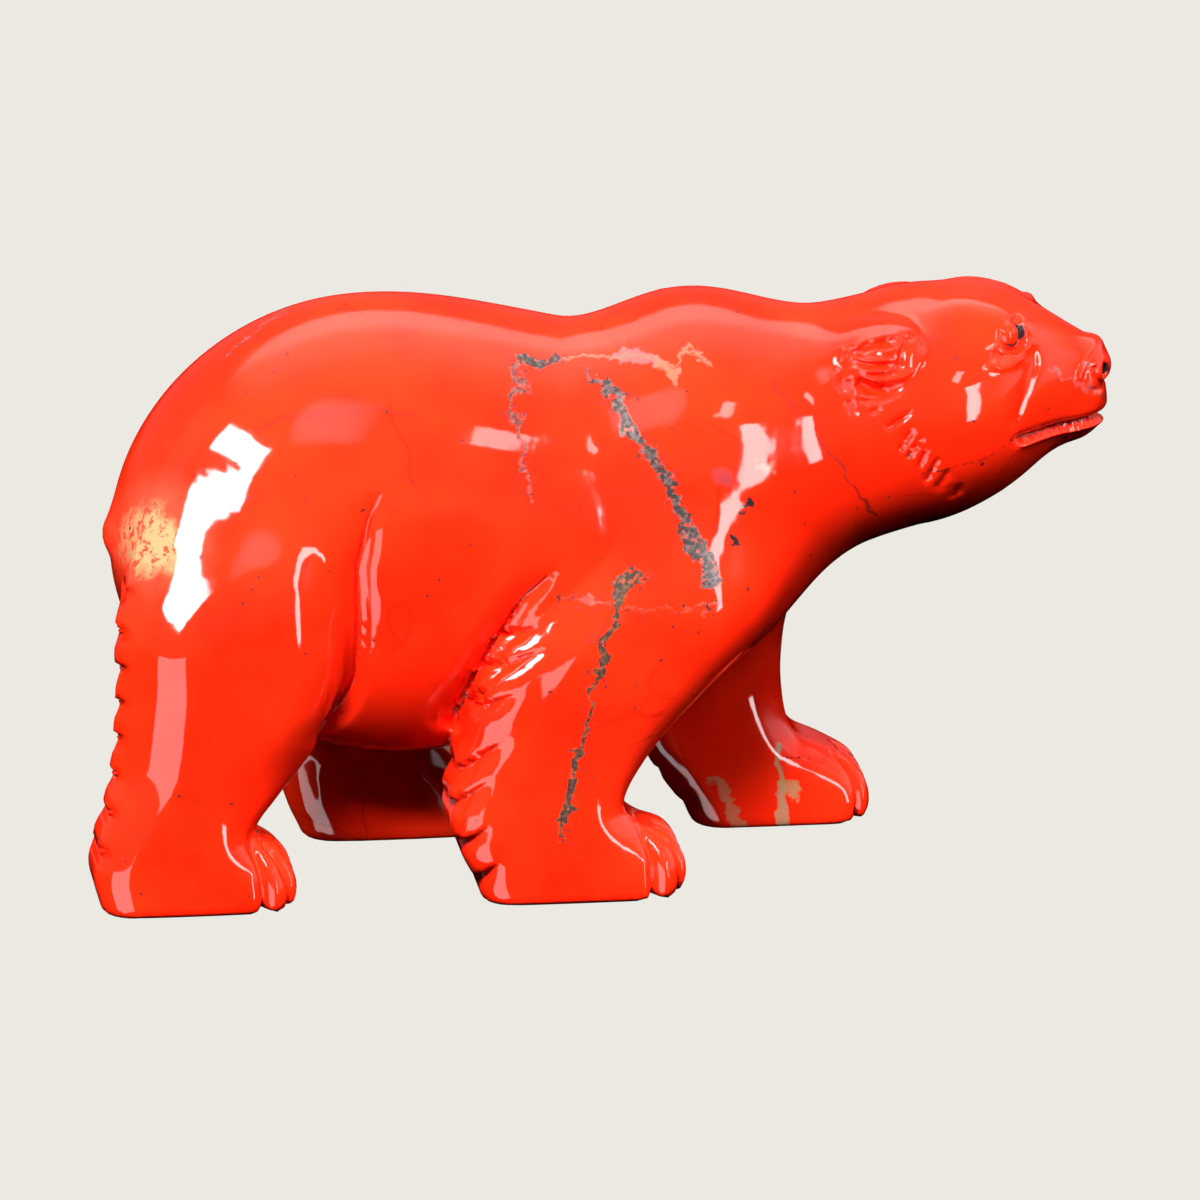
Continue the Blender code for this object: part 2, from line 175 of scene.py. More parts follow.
def outline_field(x, z, outline):
    """Distance to a closed outline in the XZ plane, negative inside it."""
    x, z = x + 0.0 * z, z + 0.0 * x
    nearest = np.full(x.shape, 1e9)
    inside = np.zeros(x.shape, bool)
    for (ax, az), (bx, bz) in zip(outline, np.roll(outline, -1, axis=0)):
        ex, ez = bx - ax, bz - az
        px, pz = x - ax, z - az
        share = np.clip((px * ex + pz * ez) / (ex * ex + ez * ez), 0.0, 1.0)
        nearest = np.minimum(nearest, (px - ex * share) ** 2 + (pz - ez * share) ** 2)
        if ez:
            inside ^= ((az > z) != (bz > z)) & (px < ex * pz / ez)
    return np.where(inside, -1.0, 1.0) * np.sqrt(nearest)


class Outline:
    """A closed smooth outline in the XZ plane, with its distances kept on a sheet of squares."""

    SQUARE = 1.0
    LOW = (-80.0, -14.0)
    COUNT = (160, 104)

    def __init__(self, corners):
        self.ring = smooth_outline(corners)
        x, z = (low + self.SQUARE * np.arange(n) for low, n in zip(self.LOW, self.COUNT))
        self.sheet = outline_field(x[:, None], z[None, :], self.ring)

    def distance(self, x, z):
        """The sheet's distances, smoothed over the squares round each place."""
        x, z = x + 0.0 * z, z + 0.0 * x
        corner, shares = [], []
        for value, low, count in zip((x, z), self.LOW, self.COUNT):
            place = np.clip((value - low) / self.SQUARE, 1.0, count - 2.001)
            whole = np.floor(place)
            corner.append(whole.astype(int) - 1)
            t = place - whole
            lower, upper = 3 * t**3 - 6 * t**2 + 4, 1 + 3 * (t + t**2 - t**3)
            shares.append(((1.0 - t) ** 3, lower, upper, t**3))
        total = 0.0
        for m, across in enumerate(shares[0]):
            for n, up in enumerate(shares[1]):
                total = total + across * up * self.sheet[corner[0] + m, corner[1] + n]
        return total / 36.0


def path_distance(x, z, path):
    """Distance to an open path in the XZ plane, above 0 on its left, and how far along it lies."""
    x, z = x + 0.0 * z, z + 0.0 * x
    nearest = np.full(x.shape, 1e9)
    share = np.zeros(x.shape)
    left = np.ones(x.shape)
    spans = len(path) - 1
    for n, ((ax, az), (bx, bz)) in enumerate(zip(path, path[1:])):
        ex, ez = bx - ax, bz - az
        along = np.clip(((x - ax) * ex + (z - az) * ez) / (ex * ex + ez * ez), 0.0, 1.0)
        gap = (x - ax - ex * along) ** 2 + (z - az - ez * along) ** 2
        closer = gap < nearest
        share = np.where(closer, (n + along) / spans, share)
        left = np.where(closer, np.where(ex * (z - az) < ez * (x - ax), -1.0, 1.0), left)
        nearest = np.minimum(nearest, gap)
    return left * np.sqrt(nearest), share


def stroke(point, path, side, depth, width, start=0.1, end=0.4, reach=8.0, lean=0.0):
    """A groove along a path on one side of the bear, running out at both of its ends.

    lean makes it wider on the path's left and steeper on its right, or the reverse below 0;
    a depth below 0 makes it a ridge.
    """
    x, y, z = point
    gap, share = path_distance(x, z, path)
    strength = ease(-0.02, start, share) * (1.0 - ease(1.0 - end, 1.02, share))
    width = width * np.where(gap > 0.0, 1.0 + lean, 1.0 - lean)
    return depth * np.exp(-((gap / width) ** 2)) * strength * ease(reach, reach + 4.0, side * y)


def slab(point, outline, outer, inner, side, rounding, crown):
    """A leg sawn to a side outline between two crowned faces, its edges rounded over."""
    x, y, z = point
    edge = outline.distance(x, z)
    crown = crown * (1.0 - ease(0.0, 9.0, -edge)) * ease(8.0, 18.0, z)
    edge = edge + rounding
    middle = 0.5 * (outer + inner)
    face = np.abs(side * y - middle) - 0.5 * (outer - inner) + rounding + crown
    corner = np.sqrt(np.maximum(edge, 0.0) ** 2 + np.maximum(face, 0.0) ** 2)
    return corner + np.minimum(np.maximum(edge, face), 0.0) - rounding


# The masses of the bear.

RIGHT, LEFT = -1.0, 1.0

HEAD_PIVOT = (34.0, 0.0, 55.0)
HEAD_YAW = -12.0

RIGHT_HIND = Outline(
    [
        (-58.0, -2.5), (-61.2, 2.0), (-61.6, 6.2), (-60.2, 11.5), (-59.4, 18.0),
        (-58.9, 26.0), (-58.0, 36.0), (-50.0, 46.0), (-40.0, 49.0), (-31.5, 48.0),
        (-29.4, 42.0), (-29.8, 30.0), (-32.8, 20.6), (-39.0, 13.4), (-42.6, 9.0),
        (-40.2, 7.0), (-38.0, 4.0), (-38.2, 0.5), (-42.0, -2.5),
    ]
)
RIGHT_FRONT = Outline(
    [
        (-13.0, -2.5), (-17.0, 3.0), (-19.3, 8.0), (-19.7, 13.0), (-18.4, 19.0),
        (-16.7, 26.0), (-11.6, 35.0), (-6.0, 42.0), (5.0, 48.0), (15.0, 43.0),
        (17.0, 34.0), (10.5, 24.5), (4.0, 16.5), (0.9, 11.0), (3.0, 8.2),
        (6.4, 6.8), (8.2, 3.6), (7.2, 0.0), (3.0, -2.5),
    ]
)
LEFT_HIND = Outline(
    [
        (-31.0, -2.5), (-35.0, 2.0), (-36.6, 6.5), (-38.0, 12.0), (-41.0, 20.0),
        (-42.0, 30.0), (-38.0, 42.0), (-28.0, 48.0), (-17.0, 42.0), (-13.5, 30.0),
        (-15.5, 19.0), (-17.0, 12.5), (-15.5, 10.0), (-12.5, 7.6), (-10.6, 4.0),
        (-11.6, 0.0), (-15.5, -2.5),
    ]
)
LEFT_FRONT = Outline(
    [
        (15.6, -2.5), (11.2, 2.6), (7.4, 8.0), (5.0, 14.0), (3.0, 22.0),
        (2.0, 32.0), (5.0, 42.0), (14.0, 46.0), (22.0, 42.0), (25.0, 33.0),
        (23.8, 24.0), (23.4, 17.0), (24.6, 11.0), (28.6, 8.6), (32.4, 6.2),
        (33.8, 3.2), (33.0, 0.0), (29.0, -2.5),
    ]
)


def torso(point):
    rump = ellipsoid(point, (-30.7, 0.0, 42.9), (28.2, 19.5, 24.7), pitch=35.0)
    barrel = ellipsoid(point, (-10.0, 0.0, 41.0), (30.0, 19.6, 24.6))
    withers = ellipsoid(point, (11.0, 0.0, 47.8), (15.8, 16.5, 20.1))
    brisket = ellipsoid(point, (9.5, 0.0, 37.9), (13.8, 14.5, 13.0), pitch=-30.0)
    neck = limb(point, (12.0, 0.0, 48.2), (35.0, -0.8, 53.2), 17.4, 13.3, squeeze=1.05)
    belly = ellipsoid(point, (-23.5, 0.0, 31.0), (19.0, 16.8, 17.0), pitch=6.0)
    body = join(rump, barrel, 8.0)
    body = join(body, belly, 5.0)
    body = join(body, withers, 6.0)
    body = join(body, brisket, 7.0)
    body = join(body, neck, 6.0)
    tail = limb(point, (-48.6, 0.0, 54.6), (-55.9, 0.0, 41.0), 2.4, 2.8)
    return join(body, tail, 1.2)


def head(point):
    local = turned(point, HEAD_PIVOT, yaw=HEAD_YAW)
    x, y, z = local
    paired = (x, np.abs(y), z)
    skull = ellipsoid(local, (8.5, 0.0, 0.8), (13.0, 11.5, 11.7))
    jowl = ellipsoid(local, (3.5, 0.0, -1.2), (13.0, 12.4, 8.7), pitch=16.0)
    muzzle = limb(local, (14.0, 0.0, 2.8), (23.6, 0.0, 2.9), 9.1, 5.0, squeeze=1.2)
    muzzle = trim(muzzle, x - 26.0, 1.4)
    chin = limb(local, (11.0, 0.0, -1.4), (22.0, 0.0, -1.4), 5.2, 3.5, squeeze=1.05)
    brow = ellipsoid(paired, (13.2, 5.0, 9.4), (5.6, 2.6, 2.6), pitch=-24.0)
    pad = ellipsoid(local, (24.3, 0.0, 4.1), (2.5, 3.6, 2.4))
    form = join(skull, jowl, 6.0)
    form = join(form, muzzle, 5.0)
    form = join(form, chin, 2.5)
    form = join(form, brow, 2.5)
    form = join(form, pad, 0.6)
    return join(form, ellipsoid(paired, EAR, (4.6, 2.9, 3.1), pitch=17.0), 0.8)


EAR = (0.4, 9.8, 7.2)
EYE = (15.3, 7.3, 9.3)
NOSTRIL = (25.6, 2.2, 4.0)
MOUTH = ((15.8, -2.9), (19.0, -2.5), (23.0, -2.1), (28.0, -1.3))
UNDER_NOSE = ((24.0, 1.9), (28.0, 2.3))

EAR_FOLDS = (
    ((-3.2, 8.0), (-1.0, 9.2), (2.5, 9.7)),
    ((-3.2, 7.6), (-1.2, 7.1), (2.6, 7.1)),
)
EAR_POCKET = ((-2.6, 4.9), (-0.4, 3.9), (1.6, 3.9), (3.4, 4.8))


def line(x, z, length, slope):
    """A straight path from a point, at this slope in degrees."""
    a = math.radians(slope)
    return ((x, z), (x + length * math.cos(a), z + length * math.sin(a)))


def head_cuts(point):
    """How deep the carving of the face goes at each point; both sides are alike."""
    x, y, z = turned(point, HEAD_PIVOT, yaw=HEAD_YAW)
    paired = (x, np.abs(y), z)
    gap, share = path_distance(x, z, MOUTH)
    cut = 0.9 * np.exp(-((gap / 0.6) ** 2)) * ease(-0.02, 0.08, share)
    gap, share = path_distance(x, z, UNDER_NOSE)
    cut = cut + 0.35 * np.exp(-((gap / 0.5) ** 2)) * ease(-0.02, 0.3, share)
    for fold in EAR_FOLDS:
        cut = cut + stroke(paired, fold, 1.0, 0.6, 0.5, end=0.2, reach=5.0)
    return cut + stroke(paired, EAR_POCKET, 1.0, 1.1, 0.8, end=0.5, reach=7.0, lean=0.4)


def eyes_and_nostrils(form, point):
    """Sockets are sunk and an eyeball is left in each; the nostrils are small pits."""
    x, y, z = turned(point, HEAD_PIVOT, yaw=HEAD_YAW)
    paired = (x, np.abs(y), z)
    a, b, c = EYE
    form = trim(form, -ellipsoid(paired, (a + 0.5, b + 0.3, c), (1.6, 1.7, 2.1)), 0.5)
    form = join(form, ellipsoid(paired, (a - 0.4, b - 0.6, c - 0.1), (1.3, 1.4, 1.8)), 0.3)
    return trim(form, -ellipsoid(paired, NOSTRIL, (1.3, 0.6, 0.9)), 0.4)


# How wide the legs stand at these heights, out to their outer and inner faces, and how
# far their edges are rounded over.
LEG_HEIGHTS = (0.0, 8.0, 18.0, 32.0, 46.0, 56.0)
HIND_OUTER = (22.0, 21.4, 21.2, 22.0, 17.4, 11.0)
FRONT_OUTER = (22.0, 21.4, 21.2, 20.9, 15.5, 10.0)
LEG_INNER = (6.2, 6.6, 6.8, 6.0, 4.0, 2.0)
HIND_ROUNDING = (4.2, 5.0, 7.0, 8.0, 9.0, 9.0)
FRONT_ROUNDING = (3.6, 4.0, 4.6, 5.4, 8.0, 9.0)
HIND_CROWN = 1.8
FRONT_CROWN = 1.0
HIND_SHAPE = (HIND_OUTER, HIND_ROUNDING, HIND_CROWN)
FRONT_SHAPE = (FRONT_OUTER, FRONT_ROUNDING, FRONT_CROWN)

# The fur strokes on the legs' back edges: height, length and slope in degrees.
FRONT_FRINGE = (
    (2.4, 4.5, 45.0),
    (6.5, 5.5, 40.0),
    (11.0, 6.8, 40.0),
    (14.6, 9.0, 40.0),
    (22.4, 7.5, 28.0),
    (27.0, 10.0, 26.0),
    (31.2, 6.0, 22.0),
)
HIND_FRINGE = [(6.2 + 4.3 * n, 3.0, 45.0) for n in range(8)]
LEFT_HIND_FRINGE = HIND_FRINGE[:4]

# The creases where the body goes in before the hind legs and behind the front legs.
HIND_CREASE = (
    (-27.6, 51.0), (-29.2, 47.0), (-30.4, 41.0), (-30.2, 34.0), (-30.4, 27.0), (-32.0, 22.0),
    (-35.0, 18.0),
)
FRONT_CREASE = ((-6.0, 41.6), (-10.8, 36.6), (-14.8, 29.6), (-17.6, 23.5), (-18.6, 19.0))
LEFT_HIND_CREASE = ((-12.0, 47.0), (-12.6, 40.0), (-13.0, 33.0), (-14.2, 26.0), (-15.6, 19.0))
LEFT_FRONT_CREASE = ((7.0, 42.0), (3.4, 36.0), (2.2, 28.0), (3.0, 20.0))

LEGS = (
    (RIGHT, RIGHT_HIND, HIND_CREASE, HIND_FRINGE, HIND_SHAPE),
    (LEFT, LEFT_HIND, LEFT_HIND_CREASE, LEFT_HIND_FRINGE, HIND_SHAPE),
    (RIGHT, RIGHT_FRONT, FRONT_CREASE, FRONT_FRINGE, FRONT_SHAPE),
    (LEFT, LEFT_FRONT, LEFT_FRONT_CREASE, FRONT_FRINGE, FRONT_SHAPE),
)
# The paws' five toes spread round a point in each paw. On both sides they point out to the
# bear's right: these are the angles from straight ahead, outward above 0, in degrees.
PAW_MIDDLE = 14.2
PAW_RADIUS = 8.0
TOES_TURNED = {RIGHT: 27.0, LEFT: -12.0}
TOE_GAPS = (-34.0, -11.5, 11.5, 34.0)


def leg(point, outline, side, shape):
    z = point[2]
    widths, roundings, crown = shape
    outer = profile(LEG_HEIGHTS, widths, z)
    inner = profile(LEG_HEIGHTS, LEG_INNER, z)
    rounding = profile(LEG_HEIGHTS, roundings, z)
    return slab(point, outline, outer, inner, side, rounding, crown)


def back_edge(outline, height):
    """How far back a leg's outline lies at this height."""
    crossings = [
        a[0] + (b[0] - a[0]) * (height - a[1]) / (b[1] - a[1])
        for a, b in zip(outline.ring, np.roll(outline.ring, -1, axis=0))
        if (a[1] > height) != (b[1] > height)
    ]
    return min(crossings)


def toe_cuts(point, outline, side):
    """The four gaps between a paw's five toes, over its front and down to the sole."""
    x, y, z = point
    front = outline.ring[outline.ring[:, 1] < 8.0, 0].max()
    ahead, aside = x - front + PAW_RADIUS, side * y - PAW_MIDDLE
    radius = np.sqrt(ahead**2 + aside**2)
    angle = np.arctan2(aside, ahead) - math.radians(TOES_TURNED[side])
    gaps = sum(
        np.exp(-((radius * (angle - math.radians(gap)) / 0.6) ** 2)) for gap in TOE_GAPS
    )
    near = ease(4.2, 5.8, radius) * (1.0 - ease(11.0, 13.0, radius))
    return 1.2 * gaps * near * (1.0 - ease(8.0, 10.5, z))


def creases(point):
    """The creases that part the legs from the body."""
    return sum(
        stroke(point, crease, side, 1.8, 1.5, start=0.4, end=0.1, lean=-0.45)
        for side, _, crease, _, _ in LEGS
    )


def leg_cuts(point):
    cut = 0.0
    for side, outline, _, fringe, _ in LEGS:
        cut = cut + toe_cuts(point, outline, side)
        for height, length, slope in fringe:
            path = line(back_edge(outline, height) - 0.4, height, length, slope)
            cut = cut + stroke(point, path, side, 0.9, 0.62, start=0.02, end=0.7, lean=-0.4)
    return cut


def uncarved(point):
    """The bear before any detail is cut: the surface that the carving goes into."""
    form = join(torso(point), head(point), 7.0)
    for side, outline, crease, _, shape in LEGS:
        gap, _ = path_distance(point[0], point[2], crease)
        blend = 1.5 + 7.5 * ease(2.0, 10.0, np.abs(gap))
        form = join(form, leg(point, outline, side, shape), blend)
    return trim(form + creases(point), -point[2], SOLE_EDGE)


# The finest carving. Places on the head are given forward and up from its pivot.

# The fur strokes of the jaw: where each starts, its length and its slope in degrees.
JAW_DEPTH = 0.42
JAW_WIDTH = 0.29
JAW_STROKES = (
    (1.2, -0.5, 4.4, 35.0),
    (2.8, -3.2, 3.9, 60.0),
    (3.6, -4.2, 4.8, 54.0),
    (4.9, -5.8, 4.4, 68.0),
    (5.9, -7.2, 4.4, 65.0),
    (7.1, -8.2, 3.4, 60.0),
    (8.9, -9.9, 2.6, 68.0),
)

# Each fold: its path, its depth (below 0 for a ridge), its width and how far it leans.
EYE_FOLDS = (
    (
        ((15.2, 11.1), (15.9, 10.7), (16.3, 9.8), (16.2, 8.8), (15.6, 8.0), (15.0, 7.7)),
        1.3, 0.30, 0.0,
    ),
    (((16.0, 12.2), (16.9, 11.2), (17.1, 10.0), (16.9, 8.9), (16.4, 7.9)), -0.45, 0.40, 0.0),
    (((12.9, 6.9), (14.5, 6.1), (15.8, 6.3), (16.9, 7.1)), -0.35, 0.45, 0.0),
    (((13.2, 8.0), (14.3, 7.3), (15.6, 7.1)), 0.35, 0.25, 0.0),
    (((13.3, 6.9), (13.8, 7.6)), 0.30, 0.26, 0.0),
    (((14.1, 6.6), (14.5, 7.2)), 0.30, 0.26, 0.0),
    (((17.0, 9.3), (17.7, 9.0)), 0.20, 0.26, 0.0),
    (((16.8, 8.5), (17.5, 8.0)), 0.20, 0.26, 0.0),
    (((17.7, 8.4), (18.0, 6.0), (17.3, 3.6), (16.2, 0.7), (15.5, -2.0)), 0.35, 0.9, 0.0),
)
EAR_RIDGES = (
    (((-3.3, 8.3), (-1.0, 9.8), (0.8, 10.3), (3.0, 10.5)), -0.40, 0.40, 0.0),
    (((-3.1, 7.8), (-1.0, 7.6), (2.4, 7.6)), -0.40, 0.38, 0.0),
    (((0.2, 8.4), (1.8, 8.8), (2.9, 9.4)), -0.30, 0.30, 0.0),
    (((-2.7, 7.1), (-1.3, 6.5), (1.4, 6.5)), -0.35, 0.30, 0.0),
    (((-2.1, 6.2), (0.4, 5.2), (3.0, 5.6), (4.6, 6.6)), -0.40, 0.40, 0.0),
    (((-2.6, 6.7), (-1.0, 5.9), (1.0, 5.8), (2.8, 6.2)), 0.35, 0.25, 0.0),
    (((-2.6, 8.0), (-0.4, 8.2), (1.8, 8.2)), 0.30, 0.22, 0.0),
    (((4.6, 10.0), (3.2, 10.1), (2.9, 8.6), (2.5, 7.0), (2.8, 6.2)), 0.55, 0.35, 0.6),
    (((-4.0, 8.8), (-4.2, 7.4)), -0.40, 0.35, 0.0),
    (((-4.6, 6.6), (-4.3, 4.8), (-3.6, 3.6)), 0.45, 0.35, 0.0),
    (((-3.3, 5.4), (-2.6, 3.4)), 0.45, 0.35, 0.0),
    (((-3.2, 3.0), (-2.3, 1.2)), 0.45, 0.40, 0.0),
    (((-2.2, 2.6), (0.2, 3.1), (1.8, 3.7)), 0.40, 0.30, 0.0),
    (((-1.0, 1.4), (0.8, 2.2)), 0.30, 0.25, 0.0),
)
MUZZLE_FOLDS = (
    (((15.9, -2.9), (19.0, -2.5), (23.0, -2.1), (28.0, -1.3)), 0.4, 0.32, 0.0),
    (((16.4, -3.8), (19.0, -3.3), (23.0, -2.9), (27.0, -2.3)), -0.40, 0.40, 0.0),
)
NOSE_FOLDS = (
    (((25.3, 7.4), (24.2, 5.8), (23.5, 4.2), (23.4, 3.0)), -0.30, 0.35, 0.0),
    (((24.9, 5.0), (25.2, 3.6), (25.9, 2.1)), 0.60, 0.30, 0.0),
)

# The line at the bottom of each crease and each notch: its depth and its width.
CREASE_LINE = (0.9, 0.34)
NOTCH_LINE = (0.5, 0.28)


def fine_cuts(point):
    """The strokes that are too fine for the solid; both sides are alike."""
    x, y, z = turned(point, HEAD_PIVOT, yaw=HEAD_YAW)
    paired = (x, np.abs(y), z)
    cut = 0.0
    for jaw in JAW_STROKES:
        cut = cut + stroke(
            paired, line(*jaw), 1.0, JAW_DEPTH, JAW_WIDTH, end=0.4, reach=5.0, lean=0.3
        )
    groups = ((EYE_FOLDS, 2.5), (EAR_RIDGES, 5.0), (MUZZLE_FOLDS, -4.0), (NOSE_FOLDS, 0.3))
    for folds, reach in groups:
        for path, depth, width, lean in folds:
            cut = cut + stroke(
                paired, path, 1.0, depth, width, start=0.15, end=0.2, reach=reach, lean=lean
            )
    for side, outline, crease, fringe, _ in LEGS:
        cut = cut + stroke(point, crease, side, *CREASE_LINE, start=0.3, end=0.1)
        for height, length, slope in fringe:
            path = line(back_edge(outline, height) - 0.4, height, length * 1.05, slope)
            cut = cut + stroke(point, path, side, *NOTCH_LINE, start=0.02, end=0.7)
    return cut


# From the field to a mesh.


def sampled(field, low, high, step):
    """The field's values on a grid."""
    axes = [np.arange(a, b, step) for a, b in zip(low, high)]
    point = (axes[0][:, None, None], axes[1][None, :, None], axes[2][None, None, :])
    shape = [len(a) for a in axes]
    return np.ascontiguousarray(np.broadcast_to(field(point), shape), dtype=np.float32)


def surface(field, low, high, step):
    """Points and quads of the field's zero surface."""
    values = sampled(field, low, high, step)
    grid = openvdb.FloatGrid(4.0 * step)
    grid.copyFromArray(np.clip(values, -4.0 * step, 4.0 * step))
    points, quads = grid.convertToQuads(0.0)
    return np.array(low) + points * step, quads


def slope_of(field, points, value, reach=0.02):
    slope = np.empty_like(points)
    for axis in range(3):
        ahead = points.copy()
        ahead[:, axis] += reach
        slope[:, axis] = (field(tuple(ahead.T)) - value) / reach
    return slope


def settled(field, points, rounds=2):
    """The points moved along the field's slope until they lie on its zero surface."""
    for _ in range(rounds):
        value = field(tuple(points.T))
        slope = slope_of(field, points, value)
        steep = np.maximum((slope**2).sum(axis=1), 0.2)
        points = points - slope * (value / steep)[:, None]
    return points


def carved(point):
    form = uncarved(point) + head_cuts(point) + leg_cuts(point) + fine_cuts(point)
    return trim(eyes_and_nostrils(form, point), -point[2], SOLE_EDGE)


def busy(points):
    """How much carving there is at each point."""
    point = tuple(points.T)
    x, y, z = turned(point, HEAD_PIVOT, yaw=HEAD_YAW)
    cuts = head_cuts(point) + np.abs(fine_cuts(point)) + 0.6 * leg_cuts(point)
    for a, b, c in (EYE, NOSTRIL):
        cuts = cuts + np.exp(-(((x - a) ** 2 + (np.abs(y) - b) ** 2 + (z - c) ** 2) / 6.0))
    return cuts + 0.1 * creases(point)


def halved(stone, levels):
    """Edges are halved where the surface is carved, once for each level."""
    for level in levels:
        bmesh.ops.triangulate(stone, faces=stone.faces)
        points = np.array([vertex.co for vertex in stone.verts])
        carving = busy(points) > level
        stone.verts.index_update()
        edges = [
            edge
            for edge in stone.edges
            if carving[edge.verts[0].index] or carving[edge.verts[1].index]
        ]
        bmesh.ops.subdivide_edges(stone, edges=edges, cuts=1)
    bmesh.ops.triangulate(stone, faces=stone.faces)


def pressed_in(points, normals):
    """The points moved inwards from just outside the uncarved surface to the carved one."""
    moved = np.flatnonzero(busy(points) > 0.002)
    start, inward = points[moved], -normals[moved]
    depth = np.full(len(moved), -START_OUTSIDE)
    for _ in range(10):
        depth += 0.9 * carved(tuple((start + inward * depth[:, None]).T))
        depth = np.clip(depth, -HIGHEST, DEEPEST)
    points[moved] = start + inward * depth[:, None]
    return points


def bear_mesh():
    points, quads = surface(uncarved, GRID_LOW, GRID_HIGH, VOXEL)
    points = settled(uncarved, points.astype(float))
    mesh = bpy.data.meshes.new("polished_bear")
    mesh.from_pydata(points.tolist(), [], quads.tolist())
    stone = bmesh.new()
    stone.from_mesh(mesh)
    bmesh.ops.recalc_face_normals(stone, faces=stone.faces)
    halved(stone, HALVED_ABOVE)
    stone.to_mesh(mesh)
    stone.free()
    points = np.empty(len(mesh.vertices) * 3)
    mesh.vertices.foreach_get("co", points)
    points = settled(uncarved, points.reshape(-1, 3), rounds=1)
    normals = slope_of(uncarved, points, uncarved(tuple(points.T)))
    normals /= np.linalg.norm(normals, axis=1, keepdims=True)
    points = pressed_in(points, normals)
    points[:, 2] = np.where(points[:, 2] < 0.03, 0.0, points[:, 2])
    low, high = points.min(axis=0), points.max(axis=0)
    points -= 0.5 * (low + high) * (1.0, 1.0, 0.0)
    points *= LENGTH / (high[0] - low[0])
    mesh.vertices.foreach_set("co", points.ravel())
    mesh.shade_smooth()
    mesh.update()
    return mesh


# Shader tools.


class Tree:
    """A node tree, and the nodes put into it."""

    def __init__(self, tree):
        self.tree = tree
        tree.nodes.clear()

    def node(self, kind, settings=None, sockets=None, output=0):
        """A new node's output, with its settings set first and then its sockets."""
        made = self.tree.nodes.new(kind)
        for name, value in (settings or {}).items():
            if name == "stops":
                self.set_stops(made.color_ramp, value)
            else:
                setattr(made, name, value)
        for name, value in (sockets or {}).items():
            socket = made.inputs[name]
            if isinstance(value, Wire):
                self.tree.links.new(value.socket, socket)
            else:
                socket.default_value = value
        return Wire(self, made.outputs[output]) if made.outputs else made

    @staticmethod
    def set_stops(ramp, stops):
        while len(ramp.elements) < len(stops):
            ramp.elements.new(0.5)
        for element, (place, colour) in zip(ramp.elements, stops):
            element.position = place
            element.color = (*colour, 1.0)

    def mixed(self, share, first, second):
        """first where share is 0, second where it is 1; both are colours."""
        full = [value if isinstance(value, Wire) else (*value, 1.0) for value in (first, second)]
        settings = {"data_type": "RGBA", "clamp_factor": True}
        return self.node("ShaderNodeMix", settings, {0: share, 6: full[0], 7: full[1]}, output=2)

    def noise(self, place, scale, detail, roughness=0.5, output=0):
        sockets = {"Vector": place, "Scale": scale, "Detail": detail, "Roughness": roughness}
        return self.node("ShaderNodeTexNoise", None, sockets, output)

    def scaled(self, vector, amount):
        settings = {"operation": "SCALE"}
        return self.node("ShaderNodeVectorMath", settings, {0: vector, 3: amount})

    def vector(self, operation, *values):
        output = 1 if operation in ("LENGTH", "DOT_PRODUCT", "DISTANCE") else 0
        sockets = dict(enumerate(values))
        return self.node("ShaderNodeVectorMath", {"operation": operation}, sockets, output)


class Wire:
    """A socket whose value can be used in Python expressions; each adds its Math node."""

    def __init__(self, tree, socket):
        self.tree = tree
        self.socket = socket

    def math(self, operation, *others, swap=False):
        values = (*others, self) if swap else (self, *others)
        return self.tree.node("ShaderNodeMath", {"operation": operation}, dict(enumerate(values)))

    def __add__(self, other):
        return self.math("ADD", other)

    def __sub__(self, other):
        return self.math("SUBTRACT", other)

    def __rsub__(self, other):
        return self.math("SUBTRACT", other, swap=True)

    def __mul__(self, other):
        return self.math("MULTIPLY", other)

    def least(self, other):
        return self.math("MINIMUM", other)

    def most(self, other):
        return self.math("MAXIMUM", other)

    def step(self, low, high):
        """0 below low, 1 above high, smooth between; with low over high it falls instead."""
        settings = {"interpolation_type": "SMOOTHSTEP"}
        if low < high:
            sockets = {"Value": self, 1: low, 2: high, 3: 0.0, 4: 1.0}
        else:
            sockets = {"Value": self, 1: high, 2: low, 3: 1.0, 4: 0.0}
        return self.tree.node("ShaderNodeMapRange", settings, sockets)


# The stone. Places in it are in millimetres: across and up its right side, on a plane that is
# turned 7 degrees and tipped back 16, so that the veins run slantwise through the block.

ACROSS = (0.9925, -0.1219, 0.0)
UP = (0.0336, 0.2736, 0.9613)

RED = (0.80, 0.0135, 0.0022)
ORANGE_RED = (0.86, 0.0200, 0.0034)
DEEP_RED = (0.55, 0.0060, 0.0015)
DARK_LINE = (0.16, 0.012, 0.008)
BLACK = (0.018, 0.012, 0.012)
CHARCOAL = (0.026, 0.018, 0.017)
ASH = (0.105, 0.068, 0.062)
OLIVE_BROWN = (0.120, 0.060, 0.028)
LILAC_GREY = (0.27, 0.090, 0.090)
PLUM = (0.20, 0.030, 0.035)
TAN = (0.24, 0.105, 0.065)
PINK = (0.70, 0.070, 0.035)
CREAM = (0.40, 0.22, 0.10)
BEIGE = (0.36, 0.23, 0.13)

